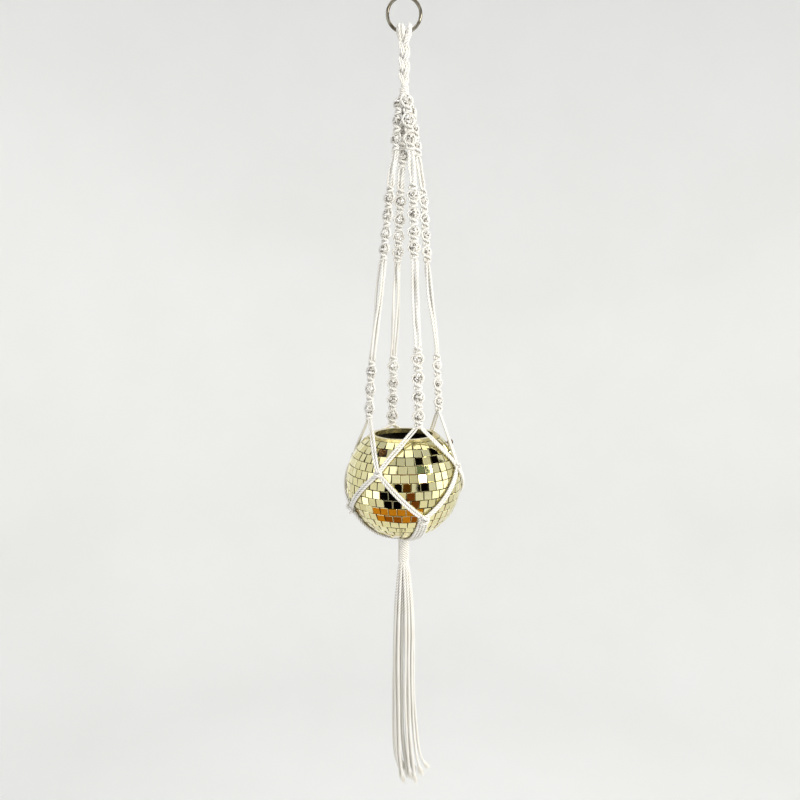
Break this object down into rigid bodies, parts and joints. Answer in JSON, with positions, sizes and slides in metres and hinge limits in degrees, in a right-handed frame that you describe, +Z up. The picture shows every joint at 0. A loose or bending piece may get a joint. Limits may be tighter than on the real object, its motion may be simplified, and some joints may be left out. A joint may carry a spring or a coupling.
{
  "type": "mirror-ball planter in a cotton hanger",
  "caption": "Open-topped mirror-ball planter hanging in a knotted cotton hanger with crystal beads in its legs, a steel ring above and a long tassel below.",
  "frame": {"origin": "the point on a hook that carries the ring: the inside of the ring's top", "axes": "+Z up; the ring lies in the XZ plane, +X to its right seen from the front, +Y to the back"},
  "size_m": [0.1602, 0.1602, 1.0414],
  "materials": {
    "steel_ring": "polished steel, a little dulled",
    "cotton_cord": "twisted natural cotton cord, soft and matt",
    "crystal_bead": "clear crystals set in white clay, sparkling",
    "gold_mirror": "pale gold mirror glass",
    "ball_shell": "dark matt plastic",
    "gold_trim": "gold metallised plastic",
    "bronze": "dark antique bronze",
    "rubber_plug": "soft black rubber"
  },
  "bodies": {
    "ring": {"hanging_ring": "steel_ring"},
    "head": {"ring_loops": "cotton_cord", "braid_strand_a": "cotton_cord", "braid_strand_b": "cotton_cord", "braid_strand_c": "cotton_cord"},
    "basket": {"top_wrap": "cotton_cord", "leg_cords_front": "cotton_cord", "leg_cords_right": "cotton_cord", "leg_cords_back": "cotton_cord", "leg_cords_left": "cotton_cord", "leg_knots_front": "cotton_cord", "leg_knots_right": "cotton_cord", "leg_knots_back": "cotton_cord", "leg_knots_left": "cotton_cord", "beads_upper_front": "crystal_bead", "beads_upper_right": "crystal_bead", "beads_upper_back": "crystal_bead", "beads_upper_left": "crystal_bead", "beads_middle_front": "crystal_bead", "beads_middle_right": "crystal_bead", "beads_middle_back": "crystal_bead", "beads_middle_left": "crystal_bead", "beads_lower_front": "crystal_bead", "beads_lower_right": "crystal_bead", "beads_lower_back": "crystal_bead", "beads_lower_left": "crystal_bead", "net_upper_cords": "cotton_cord", "net_upper_knots": "cotton_cord", "net_middle_cords": "cotton_cord", "net_lower_knots": "cotton_cord", "net_bottom_cords": "cotton_cord", "bottom_gather": "cotton_cord", "bottom_wrap": "cotton_cord"},
    "ball": {"upper_shell": "ball_shell", "lower_shell": "ball_shell", "rim_trim": "gold_trim", "tile_row_01": "gold_mirror", "tile_row_02": "gold_mirror", "tile_row_03": "gold_mirror", "tile_row_04": "gold_mirror", "tile_row_05": "gold_mirror", "tile_row_06": "gold_mirror", "tile_row_07": "gold_mirror", "tile_row_08": "gold_mirror", "tile_row_09": "gold_mirror", "tile_row_10": "gold_mirror", "tile_row_11": "gold_mirror", "tile_row_12": "gold_mirror", "tile_row_13": "gold_mirror", "tile_row_14": "gold_mirror", "tile_row_15": "gold_mirror", "tile_row_16": "gold_mirror", "tile_row_17": "gold_mirror", "chain_eyes": "bronze", "chain_eye_nuts": "bronze"},
    "plug": {"drain_plug": "rubber_plug"},
    "tassel": {"tassel_strands": "cotton_cord"}
  },
  "joints": [
    {"name": "hanger_swing", "type": "hinge", "parent": "ring", "child": "head", "pos_m": [0, 0, -0.0373], "axis": [1, 0, 0], "range_deg": [-45, 45]},
    {"name": "hanger_twist", "type": "hinge", "parent": "head", "child": "basket", "pos_m": [0, 0, -0.099], "axis": [0, 0, 1], "range_deg": [-180, 180], "stiffness_Nm_per_rad": 0.004},
    {"name": "ball_turn", "type": "hinge", "parent": "basket", "child": "ball", "pos_m": [0, 0, -0.596], "axis": [0, 0, 1], "range_deg": [-4, 4]},
    {"name": "tassel_swing", "type": "hinge", "parent": "basket", "child": "tassel", "pos_m": [0, 0, -0.7198], "axis": [1, 0, 0], "range_deg": [-30, 30]},
    {"name": "plug_pull", "type": "slide", "parent": "ball", "child": "plug", "axis": [0, 0, 1], "range_m": [0, 0.03]}
  ]
}
